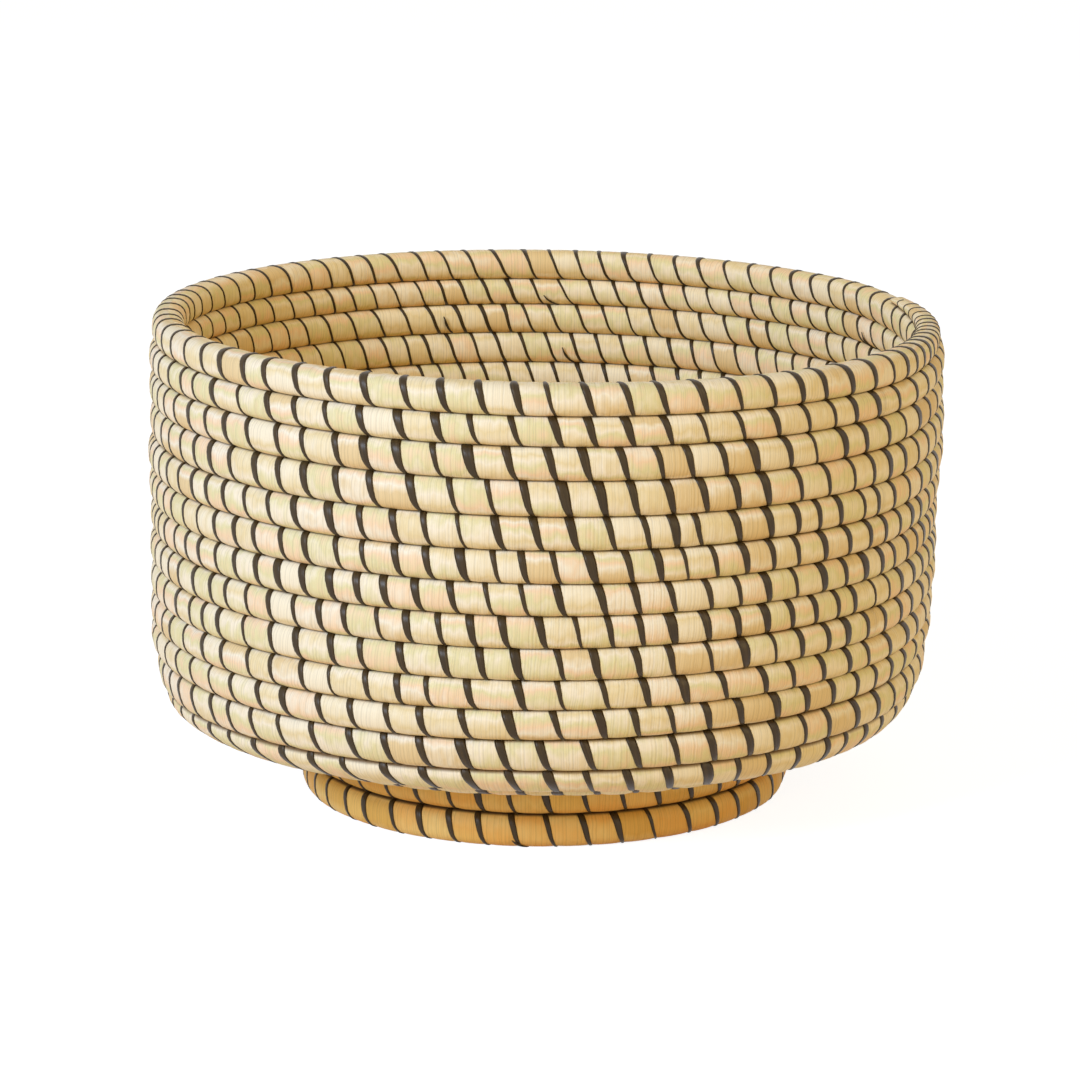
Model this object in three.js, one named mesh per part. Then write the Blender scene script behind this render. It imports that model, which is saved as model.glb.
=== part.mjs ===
// A coiled raffia bowl on a foot ring, in millimetres, +Z up.
// The origin is on the table, under the middle of the bowl.
//
// One cord makes the whole bowl. A bundle of grass lies inside a wrapping of raffia, and the cord
// winds out from a small knot, flat for the floor, round a corner and up the wall to the rim.
// A second, short cord of two rows is the foot ring. Every cord here is one unbroken tube.

import * as THREE from "three";

// Overall sizes
const bellyWidth = 305;
const bowlHeight = 185;

// The bowl's cord: its height is measured along the wall, between the two flat sides that face
// the neighbouring rows, and its width through the wall
const cordHeight = 11.25;
const cordWidth = 12.4;
const cordFlat = 6;
const rowGap = 0.5;

// The curve from the flat floor to the wall: a tight corner, a wider hip, then the barrel
const cornerRadius = 15;
const cornerTurn = THREE.MathUtils.degToRad(60);
const hipRadius = 54;
const hipTurn = THREE.MathUtils.degToRad(26);
const barrelRadius = 950;

// The spiral's middle: the cord starts on the first step of the drawing that is at least this
// far from the axis
const startRadius = 12;
const knotBevel = 2;

// The foot ring's cord, and the shave that lets it stand
const footRadius = 89.5;
const footCordHeight = 13.9;
const footCordWidth = 12;
const footCordFlat = 6;
const footShave = footCordHeight / 10;
const footRows = 2;

// The wrapping's thickness, more on the foot, where the shave mustn't cut through it, and the
// clearances
const wrapThickness = 1.2;
const footWrapThickness = footShave + wrapThickness / 2;
const coreClearance = 0.3;
const seatGap = 0.3;

// Where a row climbs on to the next: the start of that sector round the bowl, and its share of
// a loop. Everywhere else the rows of the wall lie level.
const climbStart = THREE.MathUtils.degToRad(-36);
const climbShare = 0.2;

// How finely the cords are drawn
const stepsPerLoop = 20;
const tailSteps = 3;

// A cord's cross-section

// A six-sided section, given as points (through the wall, along the wall) round its middle.
// low and high cut it flat where a row thins out or stands on the table.
function cordSection(height, width, flat, low = -height / 2, high = height / 2) {
  const halfWidthAt = (y) => width / 2 - ((width - flat) * Math.abs(y)) / height;
  const middle = low > 0 || high < 0 ? (low + high) / 2 : 0;
  const levels = [low, middle, high];
  const outer = levels.map((y) => new THREE.Vector2(halfWidthAt(y), y));
  const inner = levels.toReversed().map((y) => new THREE.Vector2(-halfWidthAt(y), y));
  return [...outer, ...inner];
}

// The three-sided bore that the wrapping leaves for the grass bundle, or the bundle itself
function boreSection(height, width, flat, inset) {
  const halfHeight = height / 2 - inset;
  const tip = width / 2 - inset;
  const back = -flat / 2 + inset / 2;
  return [
    new THREE.Vector2(back, -halfHeight),
    new THREE.Vector2(tip, 0),
    new THREE.Vector2(back, halfHeight),
  ];
}

// The routes

// The distance between two rows that keeps their flat sides rowGap apart where the wall curves
// with this radius, because their inner edges lean towards each other there
function rowPitch(radius) {
  const reach = radius - cordFlat / 2;
  return 2 * radius * (Math.atan(cordHeight / 2 / reach) + rowGap / 2 / reach);
}

const floorPitch = cordHeight + rowGap;
const footPitch = footCordHeight + rowGap;
const footLowestRow = footCordHeight / 2 - footShave;
const footTop = footLowestRow + (footRows - 1) * footPitch + footCordHeight / 2;
const floorHeight = footTop + seatGap + cordWidth / 2;
const wallTurn = cornerTurn + hipTurn;
const floorRadius =
  bellyWidth / 2 -
  cordWidth / 2 -
  barrelRadius * (1 - Math.sin(wallTurn)) -
  hipRadius * (Math.sin(wallTurn) - Math.sin(cornerTurn)) -
  cornerRadius * Math.sin(cornerTurn);

// The bends after the flat floor, from the corner up
const bends = [
  { radius: cornerRadius, turn: cornerTurn },
  { radius: hipRadius, turn: hipTurn },
  { radius: barrelRadius, turn: Math.PI - wallTurn },
];

// A point of the bowl's profile, so many rows out from the middle: its distance from the axis,
// its height, and the profile's slope there
function bowlProfile(row) {
  const floorRows = floorRadius / floorPitch;
  const point = { r: Math.min(row, floorRows) * floorPitch, z: floorHeight, slope: 0 };
  let rowsLeft = row - floorRows;
  for (const { radius, turn } of bends) {
    if (rowsLeft <= 0) break;
    const rowsHere = (radius * turn) / rowPitch(radius);
    const next = point.slope + (Math.min(rowsLeft, rowsHere) / rowsHere) * turn;
    point.r += radius * (Math.sin(next) - Math.sin(point.slope));
    point.z += radius * (Math.cos(point.slope) - Math.cos(next));
    point.slope = next;
    rowsLeft -= rowsHere;
  }
  return point;
}

// The row, counted from the middle, whose profile point has this height on the wall
function wallRowAt(height) {
  let low = floorRadius / floorPitch;
  let high = low + (2 * bowlHeight) / cordHeight;
  for (let halving = 0; halving < 50; halving += 1) {
    const middle = (low + high) / 2;
    if (bowlProfile(middle).z < height) low = middle;
    else high = middle;
  }
  return low;
}

const rimRow = wallRowAt(bowlHeight - cordHeight / 2);
const bowlLoops = Math.floor(rimRow);
const rowOffset = rimRow - bowlLoops;

// How far a row has moved on to the next, a share of a loop after it began. Near the middle it
// moves steadily, as a spiral does; on the wall it moves only in the climbing sector.
function climb(share, steadiness) {
  const inSector = THREE.MathUtils.smoothstep(share, 0, climbShare);
  return steadiness * share + (1 - steadiness) * inSector;
}

// The route of the bowl's cord, so many loops from the middle
function bowlRoute(loops) {
  const whole = Math.floor(loops + 1e-9);
  const steadiness = Math.max(0, 1 - (whole * floorPitch) / floorRadius);
  const row = rowOffset + whole + climb(Math.max(0, loops - whole), steadiness);
  const rowsToTop = rimRow - row;
  const top = rowsToTop * rowPitch(barrelRadius) + cordHeight / 2;
  return { ...bowlProfile(row), low: -cordHeight / 2, high: Math.min(cordHeight / 2, top) };
}

// The route of the foot's cord, so many loops from its start
function footRoute(loops) {
  const whole = Math.floor(loops + 1e-9);
  const row = whole + climb(Math.max(0, loops - whole), 0) - 1;
  const z = footLowestRow + row * footPitch;
  const low = Math.max(-footCordHeight / 2, -z);
  const high = Math.min(footCordHeight / 2, footTop - z);
  return { r: footRadius, z, slope: Math.PI / 2, low, high };
}

// Building a tube along a route

const azimuthAt = (loops) => climbStart + 2 * Math.PI * loops;

// The loops at which a cord has a ring of points, always at the same places round the bowl, so
// that neighbouring rows run side by side
function ringPlaces(from, to) {
  const places = [from];
  const first = Math.ceil(from * stepsPerLoop + 0.3);
  const last = Math.floor(to * stepsPerLoop - 0.3);
  for (let step = first; step <= last; step += 1) places.push(step / stepsPerLoop);
  return [...places, to];
}

// A section's points in space, at a place along a route
function placeSection(section, place, loops) {
  const azimuth = azimuthAt(loops);
  const cos = Math.cos(place.slope);
  const sin = Math.sin(place.slope);
  return section.map(({ x, y }) => {
    const r = place.r + y * cos + x * sin;
    const z = place.z + y * sin - x * cos;
    return new THREE.Vector3(r * Math.cos(azimuth), r * Math.sin(azimuth), z);
  });
}

// A closed tube through rings of points; boreRings, if given, leave it open from end to end
function tubeGeometry(rings, ringShape, boreRings = [], boreShape = []) {
  const points = [...rings.flat(), ...boreRings.flat()];
  const faces = [];
  const boreStart = rings.length * ringShape.length;
  const skin = (first, sides, count, inward) => {
    for (let ring = 0; ring < count - 1; ring += 1) {
      for (let side = 0; side < sides; side += 1) {
        const a = first + ring * sides + side;
        const b = first + ring * sides + ((side + 1) % sides);
        const quad = [a, a + sides, b + sides, a, b + sides, b];
        faces.push(...(inward ? quad.toReversed() : quad));
      }
    }
  };
  skin(0, ringShape.length, rings.length, false);
  skin(boreStart, boreShape.length, boreRings.length, true);

  const holes = boreShape.length ? [boreShape.toReversed()] : [];
  const cap = THREE.ShapeUtils.triangulateShape(ringShape, holes);
  const sides = ringShape.length;
  const boreSides = boreShape.length;
  const capPoint = (index, end) => {
    if (index < sides) return (end ? rings.length - 1 : 0) * sides + index;
    const reversed = boreSides - 1 - (index - sides);
    return boreStart + (end ? boreRings.length - 1 : 0) * boreSides + reversed;
  };
  for (const corners of cap) {
    faces.push(...corners.map((corner) => capPoint(corner, false)));
    faces.push(...corners.toReversed().map((corner) => capPoint(corner, true)));
  }

  const geometry = new THREE.BufferGeometry().setFromPoints(points);
  geometry.setIndex(faces);
  const faceted = geometry.toNonIndexed();
  faceted.computeVertexNormals();
  return faceted;
}

// The shape of each cord, for the functions below
const bowlCord = {
  route: bowlRoute,
  size: [cordHeight, cordWidth, cordFlat],
  wrap: wrapThickness,
};
const footCord = {
  route: footRoute,
  size: [footCordHeight, footCordWidth, footCordFlat],
  wrap: footWrapThickness,
};

function ringsAlong(cord, places, sectionAt) {
  return places.map((loops) => {
    const place = cord.route(loops);
    return placeSection(sectionAt(place), place, loops);
  });
}

const outerSection = (cord) => (place) => cordSection(...cord.size, place.low, place.high);

// The raffia wrapping: a sheath with an open bore
function wrapping(cord, places) {
  const bore = boreSection(...cord.size, cord.wrap);
  return tubeGeometry(
    ringsAlong(cord, places, outerSection(cord)),
    cordSection(...cord.size),
    ringsAlong(cord, places, () => bore),
    bore,
  );
}

// The grass bundle inside it
function bundle(cord, places) {
  const section = boreSection(...cord.size, cord.wrap + 2 * coreClearance);
  return tubeGeometry(ringsAlong(cord, places, () => section), section);
}

// A thinned, bound-off end of a cord, which lets the rows before and after it lie level
function tail(cord, from, to) {
  const places = Array.from({ length: tailSteps + 1 }, (_, step) =>
    THREE.MathUtils.lerp(from, to, step / tailSteps),
  );
  return tubeGeometry(ringsAlong(cord, places, outerSection(cord)), cordSection(...cord.size));
}

// The share of a loop that seatGap covers at this distance from the axis
const gapShare = (radius) => seatGap / (2 * Math.PI * radius);

// The wound knot in the middle: its side follows the first loop of the cord, and its one step
// is where the cord comes out
function knotGeometry(firstPlace) {
  const corners = [];
  for (let step = 0; step <= stepsPerLoop; step += 1) {
    const loops = firstPlace + step / stepsPerLoop;
    const radius = bowlRoute(loops).r - cordHeight / 2 - seatGap;
    const stepBack = step === 0 || step === stepsPerLoop ? gapShare(radius) : 0;
    const azimuth = azimuthAt(loops - stepBack);
    corners.push(new THREE.Vector2(radius * Math.cos(azimuth), radius * Math.sin(azimuth)));
  }
  const geometry = new THREE.ExtrudeGeometry(new THREE.Shape(corners), {
    depth: cordWidth - 2 * knotBevel,
    bevelThickness: knotBevel,
    bevelSize: knotBevel,
    bevelOffset: -knotBevel,
    bevelSegments: 1,
  });
  return geometry.translate(0, 0, floorHeight - cordWidth / 2 + knotBevel);
}

// The least gap between a cord and itself a loop on, measured on points along its edges
function leastGap(cord, places) {
  const samples = [];
  const between = 4;
  const rings = ringsAlong(cord, places, outerSection(cord));
  for (let ring = 0; ring < rings.length - 1; ring += 1) {
    for (let part = 0; part < between; part += 1) {
      const share = part / between;
      const loops = THREE.MathUtils.lerp(places[ring], places[ring + 1], share);
      const points = rings[ring].map((point, corner) =>
        point.clone().lerp(rings[ring + 1][corner], share),
      );
      samples.push({ loops, points });
    }
  }
  let least = Infinity;
  for (const here of samples) {
    for (const there of samples) {
      const apart = there.loops - here.loops;
      if (apart < 0.9 || apart > 1.1) continue;
      for (const a of here.points) {
        for (const b of there.points) least = Math.min(least, a.distanceTo(b));
      }
    }
  }
  return least;
}

// The places of the pieces along their cords

const firstPlace =
  Math.ceil((startRadius / floorPitch - rowOffset) * stepsPerLoop) / stepsPerLoop;
const lastPlace = bowlLoops;
const footFirstPlace = climbShare;
const footLastPlace = footRows;
const tailShare = 0.75 * climbShare;

const bowlPlaces = ringPlaces(firstPlace, lastPlace - gapShare(bellyWidth / 2));
const footPlaces = ringPlaces(
  footFirstPlace + gapShare(footRadius),
  footLastPlace - gapShare(footRadius),
);

// Finishes
const naturalRaffia = { color: 0xd9c9a3, roughness: 0.75, metalness: 0 };
const grass = { color: 0xb79a62, roughness: 0.9, metalness: 0 };
const boundEnd = { color: 0xc9b488, roughness: 0.8, metalness: 0 };

const bowl = new THREE.Group();

function addPiece(name, geometry, finish) {
  const piece = new THREE.Mesh(geometry, new THREE.MeshStandardMaterial(finish));
  piece.name = name;
  bowl.add(piece);
}

addPiece("body_wrapping", wrapping(bowlCord, bowlPlaces), naturalRaffia);
addPiece("body_grass_core", bundle(bowlCord, bowlPlaces), grass);
addPiece("rim_tail", tail(bowlCord, lastPlace, lastPlace + tailShare), boundEnd);
addPiece("centre_knot", knotGeometry(firstPlace), boundEnd);
addPiece("foot_wrapping", wrapping(footCord, footPlaces), naturalRaffia);
addPiece("foot_grass_core", bundle(footCord, footPlaces), grass);
addPiece("foot_lower_tail", tail(footCord, footFirstPlace - tailShare, footFirstPlace), boundEnd);
addPiece("foot_upper_tail", tail(footCord, footLastPlace, footLastPlace + tailShare), boundEnd);

console.log(`bowl cord: ${(lastPlace - firstPlace).toFixed(2)} loops`);
console.log(`bowl cord: least gap ${leastGap(bowlCord, bowlPlaces).toFixed(2)} mm`);
console.log(`foot cord: least gap ${leastGap(footCord, footPlaces).toFixed(2)} mm`);

export default bowl;
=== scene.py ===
# %% [markdown]
# # A coiled raffia bowl, dressed for its picture
#
# The bowl is one long cord: a bundle of grass wrapped in pale raffia, wound out from a knot in
# the middle of the floor, round a corner and up the wall. A black strand winds round the cord
# as well and catches the row below, which gives the slanting dark stitches. A second cord of
# two rows is the foot ring. This file winds the same cords as the solid model does, with round
# sections, fine raffia and every stitch, and lights and frames them as in the photograph.

# %% Load the frame
import math

import bmesh
import bpy
import numpy as np
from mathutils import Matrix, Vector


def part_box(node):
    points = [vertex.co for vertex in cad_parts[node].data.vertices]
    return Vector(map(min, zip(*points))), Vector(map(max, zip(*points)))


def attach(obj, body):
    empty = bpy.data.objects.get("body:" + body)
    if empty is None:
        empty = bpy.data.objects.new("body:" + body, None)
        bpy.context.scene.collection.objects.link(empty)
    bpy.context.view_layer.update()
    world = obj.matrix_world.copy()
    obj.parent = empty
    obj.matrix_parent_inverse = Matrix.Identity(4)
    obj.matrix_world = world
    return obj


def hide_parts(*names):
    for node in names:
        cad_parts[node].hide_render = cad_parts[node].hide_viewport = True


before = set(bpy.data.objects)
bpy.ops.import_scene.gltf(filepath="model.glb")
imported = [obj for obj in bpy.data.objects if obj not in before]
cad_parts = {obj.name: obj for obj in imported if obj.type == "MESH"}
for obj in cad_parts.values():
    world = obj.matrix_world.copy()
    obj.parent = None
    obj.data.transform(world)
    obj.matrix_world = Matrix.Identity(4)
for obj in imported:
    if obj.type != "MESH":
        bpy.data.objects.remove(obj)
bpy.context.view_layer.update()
MM = 0.001
BODY = "root"

# %% [markdown]
# ## Camera, light and ground
#
# The photograph was taken from about a metre and a half away, a little above the rim, with a
# long lens. The camera's place and pitch were worked out from the outline of the bowl and the
# lines between its rows, so they are real distances here. The picture is square.

# %% Camera
CAMERA_DISTANCE = 1.520
CAMERA_HEIGHT = 0.452
CAMERA_PITCH = math.radians(-13.2)
CAMERA_TURN = math.radians(0.07)
CAMERA_LENS = 134.3
SENSOR_WIDTH = 36.0


def new_object(name, data):
    """Puts an object with this data in the scene."""
    made = bpy.data.objects.new(name, data)
    bpy.context.collection.objects.link(made)
    return made


def add_camera():
    """The photograph's camera, in front of the bowl and looking a little down."""
    lens = bpy.data.cameras.new("camera")
    lens.sensor_fit = "HORIZONTAL"
    lens.sensor_width = SENSOR_WIDTH
    lens.lens = CAMERA_LENS
    camera = new_object("camera", lens)
    camera.location = (0, -CAMERA_DISTANCE, CAMERA_HEIGHT)
    camera.rotation_euler = (math.pi / 2 + CAMERA_PITCH, 0, CAMERA_TURN)
    bpy.context.scene.camera = camera
    return camera


camera = add_camera()
print("camera at", tuple(camera.location))

# %% [markdown]
# The bowl in the photograph is cut out on white, lit by a large soft light from the front left:
# its left side is bright, its right side a tone darker, and the inside of the left wall lies in
# its own shade. The light that comes back up from the ground is warm. So the ground is a pale
# warm floor that only the camera, and reflections, see as white. It keeps the bowl's soft
# shadow.

# %% A helper for node trees
def shader_tree(owner):
    """An emptied node tree, with functions that add a node and join two sockets."""
    owner.use_nodes = True
    tree = owner.node_tree
    tree.nodes.clear()

    def add(kind, **settings):
        node = tree.nodes.new(kind)
        for name, value in settings.items():
            setattr(node, name, value)
        return node

    return add, tree.links.new


def light_path_mask(add, link):
    """1 for what the camera and the reflections see, 0 for light that bounces diffusely."""
    path = add("ShaderNodeLightPath")
    first = add("ShaderNodeMath", operation="MAXIMUM")
    link(path.outputs["Is Camera Ray"], first.inputs[0])
    link(path.outputs["Is Glossy Ray"], first.inputs[1])
    both = add("ShaderNodeMath", operation="MAXIMUM")
    link(first.outputs[0], both.inputs[0])
    link(path.outputs["Is Transmission Ray"], both.inputs[1])
    return both.outputs[0]


# %% Ground and surroundings
FLOOR_SIZE = 14.0
# The floor's colour for the light that it sends back up, and for what is seen of it
FLOOR_BOUNCE = (0.92, 0.75, 0.50, 1)
FLOOR_SEEN = (0.36, 0.43, 0.62, 1)
FLOOR_LIFT = 0.87
SKY_COLOUR = (1.0, 0.74, 0.40, 1)
SKY_STRENGTH = 0.45
WHITE = (1, 1, 1, 1)
WHITE_STRENGTH = 1.0


def add_floor():
    """A wide floor, which is stage and not a piece of the bowl."""
    bm = bmesh.new()
    bmesh.ops.create_grid(bm, x_segments=1, y_segments=1, size=FLOOR_SIZE / 2)
    mesh = bpy.data.meshes.new("floor")
    bm.to_mesh(mesh)
    bm.free()
    floor = new_object("floor", mesh)

    material = bpy.data.materials.new("pale floor")
    add, link = shader_tree(material)
    bounce = add("ShaderNodeBsdfDiffuse")
    bounce.inputs["Color"].default_value = FLOOR_BOUNCE
    seen = add("ShaderNodeBsdfDiffuse")
    seen.inputs["Color"].default_value = FLOOR_SEEN
    lift = add("ShaderNodeEmission")
    lift.inputs["Strength"].default_value = FLOOR_LIFT
    lifted = add("ShaderNodeAddShader")
    link(seen.outputs[0], lifted.inputs[0])
    link(lift.outputs[0], lifted.inputs[1])
    mix = add("ShaderNodeMixShader")
    link(light_path_mask(add, link), mix.inputs["Fac"])
    link(bounce.outputs[0], mix.inputs[1])
    link(lifted.outputs[0], mix.inputs[2])
    output = add("ShaderNodeOutputMaterial")
    link(mix.outputs[0], output.inputs["Surface"])
    mesh.materials.append(material)


def add_sky():
    """A soft warm sky that is seen as plain white."""
    world = bpy.data.worlds.new("studio")
    bpy.context.scene.world = world
    add, link = shader_tree(world)
    soft = add("ShaderNodeBackground")
    soft.inputs["Color"].default_value = SKY_COLOUR
    soft.inputs["Strength"].default_value = SKY_STRENGTH
    white = add("ShaderNodeBackground")
    white.inputs["Color"].default_value = WHITE
    white.inputs["Strength"].default_value = WHITE_STRENGTH
    mix = add("ShaderNodeMixShader")
    link(light_path_mask(add, link), mix.inputs["Fac"])
    link(soft.outputs[0], mix.inputs[1])
    link(white.outputs[0], mix.inputs[2])
    output = add("ShaderNodeOutputWorld")
    link(mix.outputs[0], output.inputs["Surface"])


add_floor()
add_sky()

# %% Lamps
LAMPS = {
    "key": {
        "place": (-1.22, -1.27, 0.95),
        "size": 0.75,
        "watts": 27.8,
        "colour": (0.64, 0.78, 0.99),
    },
    "fill": {
        "place": (1.5, -1.3, 1.0),
        "size": 1.4,
        "watts": 10.8,
        "colour": (1.0, 0.81, 0.42),
    },
}


def add_lamp(name, place, size, watts, colour):
    """A round soft lamp that faces the place where the bowl stands."""
    light = bpy.data.lights.new(name, "AREA")
    light.shape = "DISK"
    light.size = size
    light.energy = watts
    light.color = colour
    lamp = new_object(name, light)
    lamp.location = place
    aim = lamp.location.normalized()
    lamp.rotation_euler = aim.to_track_quat("Z", "Y").to_euler()


for name, settings in LAMPS.items():
    add_lamp(name, **settings)
bpy.context.scene.view_settings.view_transform = "Standard"
print("lamps:", ", ".join(LAMPS))

# %% [markdown]
# ## The route of the cords
#
# The cord's route comes from the solid model: a flat floor, a tight corner, a wider hip and a
# barrelled wall. Near the middle the cord moves outwards steadily, as a spiral does. On the
# wall each row lies level all round, and climbs on to the next only in one sector, at the right
# of the bowl. The overall sizes are read from the frame, so the dressed bowl fits its solids.

# %% Sizes
CORD_HEIGHT = 11.25 * MM
CORD_WIDTH = 12.4 * MM
CORD_FLAT = 6 * MM
ROW_GAP = 0.5 * MM
CORNER_RADIUS = 15 * MM
CORNER_TURN = math.radians(60)
HIP_RADIUS = 54 * MM
HIP_TURN = math.radians(26)
BARREL_RADIUS = 950 * MM
BOWL_HEIGHT = 185 * MM
START_RADIUS = 12 * MM
SEAT_GAP = 0.3 * MM
CLIMB_START = math.radians(-36)
CLIMB_SHARE = 0.2
TAIL_SHARE = 0.75 * CLIMB_SHARE

FOOT_ROWS = 2
FOOT_CORD_HEIGHT = 13.9 * MM
FOOT_CORD_WIDTH = 12 * MM

wrapping_low, wrapping_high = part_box("body_wrapping")
foot_low, foot_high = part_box("foot_wrapping")
BELLY_RADIUS = (wrapping_high[0] - wrapping_low[0]) / 2
FOOT_RADIUS = (foot_high[0] - foot_low[0]) / 2 - FOOT_CORD_WIDTH / 2
FOOT_TOP = foot_high[2]
FLOOR_HEIGHT = FOOT_TOP + SEAT_GAP + CORD_WIDTH / 2
WALL_TURN = CORNER_TURN + HIP_TURN
FLOOR_RADIUS = (
    BELLY_RADIUS
    - CORD_WIDTH / 2
    - BARREL_RADIUS * (1 - math.sin(WALL_TURN))
    - HIP_RADIUS * (math.sin(WALL_TURN) - math.sin(CORNER_TURN))
    - CORNER_RADIUS * math.sin(CORNER_TURN)
)
print(f"belly {2 * BELLY_RADIUS / MM:.1f} mm, foot ring centre {FOOT_RADIUS / MM:.1f} mm")
print(f"floor at {FLOOR_HEIGHT / MM:.1f} mm, flat out to {FLOOR_RADIUS / MM:.1f} mm")


# %% The bowl's profile
def row_pitch(radius):
    """The distance between two rows where the wall curves with this radius."""
    reach = radius - CORD_FLAT / 2
    return 2 * radius * (math.atan(CORD_HEIGHT / 2 / reach) + ROW_GAP / 2 / reach)


FLOOR_PITCH = CORD_HEIGHT + ROW_GAP
FOOT_PITCH = FOOT_CORD_HEIGHT + ROW_GAP
BENDS = [
    (CORNER_RADIUS, CORNER_TURN),
    (HIP_RADIUS, HIP_TURN),
    (BARREL_RADIUS, math.pi - WALL_TURN),
]


def bowl_profile(row):
    """Distance from the axis, height, slope and row pitch, so many rows out from the middle."""
    floor_rows = FLOOR_RADIUS / FLOOR_PITCH
    radius = np.minimum(row, floor_rows) * FLOOR_PITCH
    height = np.full_like(row, FLOOR_HEIGHT)
    slope = np.zeros_like(row)
    pitch = np.full_like(row, FLOOR_PITCH)
    rows_left = row - floor_rows
    for bend_radius, turn in BENDS:
        rows_here = bend_radius * turn / row_pitch(bend_radius)
        used = np.clip(rows_left, 0, rows_here)
        after = slope + used / rows_here * turn
        radius = radius + bend_radius * (np.sin(after) - np.sin(slope))
        height = height + bend_radius * (np.cos(slope) - np.cos(after))
        pitch = np.where(rows_left > 0, row_pitch(bend_radius), pitch)
        slope = after
        rows_left = rows_left - rows_here
    return radius, height, slope, pitch


MOST_ROWS = 30
MEASURING_POINTS = 4000
trial_rows = np.linspace(FLOOR_RADIUS / FLOOR_PITCH, MOST_ROWS, MEASURING_POINTS)
trial_heights = bowl_profile(trial_rows)[1]
RIM_ROW = float(np.interp(BOWL_HEIGHT - CORD_HEIGHT / 2, trial_heights, trial_rows))
BOWL_LOOPS = math.floor(RIM_ROW)
ROW_OFFSET = RIM_ROW - BOWL_LOOPS
START_LOOPS = START_RADIUS / FLOOR_PITCH - ROW_OFFSET
print(f"rim row {RIM_ROW:.2f}, {BOWL_LOOPS - START_LOOPS:.2f} loops of cord")


# %% Where a cord lies, so many loops along it
ROUNDING = 1e-9


def smooth(share):
    """Eases from 0 to 1, and is level before and after."""
    share = np.clip(share, 0, 1)
    return share * share * (3 - 2 * share)


def climb(share, steadiness):
    """How much of a row a loop has climbed: steadily, or only in the climb's own share."""
    return steadiness * share + (1 - steadiness) * smooth(share / CLIMB_SHARE)


def bowl_route(loops):
    """Radius, height, slope and half height of the cord, and the levels that cut it flat."""
    whole = np.floor(loops + ROUNDING)
    steadiness = np.maximum(0, 1 - whole * FLOOR_PITCH / FLOOR_RADIUS)
    row = ROW_OFFSET + whole + climb(np.maximum(0, loops - whole), steadiness)
    radius, height, slope, pitch = bowl_profile(row)
    top = (RIM_ROW - row) * row_pitch(BARREL_RADIUS) + pitch / 2
    half = pitch / 2
    return radius, height, slope, half, -half, np.minimum(half, top)


def foot_route(loops):
    """The same for the foot's cord, whose rows stand one above the other."""
    whole = np.floor(loops + ROUNDING)
    row = whole + climb(np.maximum(0, loops - whole), 0) - 1
    half = np.full_like(loops, FOOT_PITCH / 2)
    lowest = FOOT_TOP - FOOT_CORD_HEIGHT / 2 - FOOT_PITCH
    height = lowest + row * FOOT_PITCH
    low = np.maximum(-half, -height)
    high = np.minimum(half, FOOT_TOP - height)
    upright = np.full_like(loops, math.pi / 2)
    return np.full_like(loops, FOOT_RADIUS), height, upright, half, low, high


# %% [markdown]
# ## Winding a tube
#
# Every cord and every strand here is a long tube. A flat grid is rolled up into a tube and
# wound along its route: one side of the grid runs along the cord and the other goes round it.
# That keeps one tidy UV map on each piece, with the distance along the cord in it, which the
# raffia's finish follows. The seam of the roll is welded and both ends are closed.
#
# A real bowl isn't drawn with a compass. The cord swells between its stitches and is pulled in
# under them, and rows sit a little in or out. The rim leans a few millimetres, the belly sways
# to one side, some rows lie higher than they should, and the wall bulges in places.

# %% The hand-made unevenness of the bowl
RIM_LEAN = 0.0162
BELLY_SWAY = -2.8 * MM
BELLY_SWAY_HEIGHT = 56 * MM
BELLY_SWAY_SPREAD = 30 * MM
RIM_SWAY = 0.9 * MM
HIP_RISE = 1.9 * MM
HIP_RISE_HEIGHT = 54 * MM
HIP_RISE_SPREAD = 13 * MM
# Side of the bowl, -1 for the left, then how far it stands out, at what height, over what spread
BULGES = [
    (-1, 3.4 * MM, 38 * MM, 8.5 * MM),
    (1, 3.0 * MM, 44 * MM, 11 * MM),
    (1, 1.5 * MM, 68 * MM, 9 * MM),
    (1, -1.8 * MM, 112 * MM, 20 * MM),
]
CORNER_RISE = 3.2 * MM
CORNER_RISE_HEIGHT = 30 * MM
CORNER_RISE_SPREAD = 11 * MM
CORNER_RISE_SIDE = -0.15
CORNER_RISE_REACH = 0.75
CORNER_STARTS = 0.85
CORNER_BLEND = 0.12
ROW_RISE = 1.8 * MM
ROW_RISE_HEIGHT = 157 * MM
ROW_RISE_SPREAD = 16 * MM


def hand_made(points):
    """Leans the rim, sways and bulges the wall and lifts rows, as in the photograph."""
    x, y, z = points
    share = smooth((z - FLOOR_HEIGHT) / (BOWL_HEIGHT - FLOOR_HEIGHT))

    def near(height, spread):
        return np.exp(-(((z - height) / spread) ** 2))

    sway = BELLY_SWAY * near(BELLY_SWAY_HEIGHT, BELLY_SWAY_SPREAD) + RIM_SWAY * share
    for side, size, height, spread in BULGES:
        facing = np.clip(side * x / BELLY_RADIUS, 0, 1) ** 2
        sway = sway + side * size * near(height, spread) * facing
    corner = smooth((np.hypot(x, y) / FLOOR_RADIUS - CORNER_STARTS) / CORNER_BLEND)
    corner = corner * np.exp(-(((x / BELLY_RADIUS - CORNER_RISE_SIDE) / CORNER_RISE_REACH) ** 2))
    rise = (
        HIP_RISE * near(HIP_RISE_HEIGHT, HIP_RISE_SPREAD)
        + ROW_RISE * near(ROW_RISE_HEIGHT, ROW_RISE_SPREAD)
        + CORNER_RISE * near(CORNER_RISE_HEIGHT, CORNER_RISE_SPREAD) * corner
    )
    return np.array([x + sway, y, z - RIM_LEAN * share * x + rise])


# %% How a row wanders in and out
WANDER_RATES = (1.37, 2.71, 4.33, 7.9, 13.1)
WANDER_SHARES = (0.8, 0.7, 0.6, 0.4, 0.3)


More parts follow.
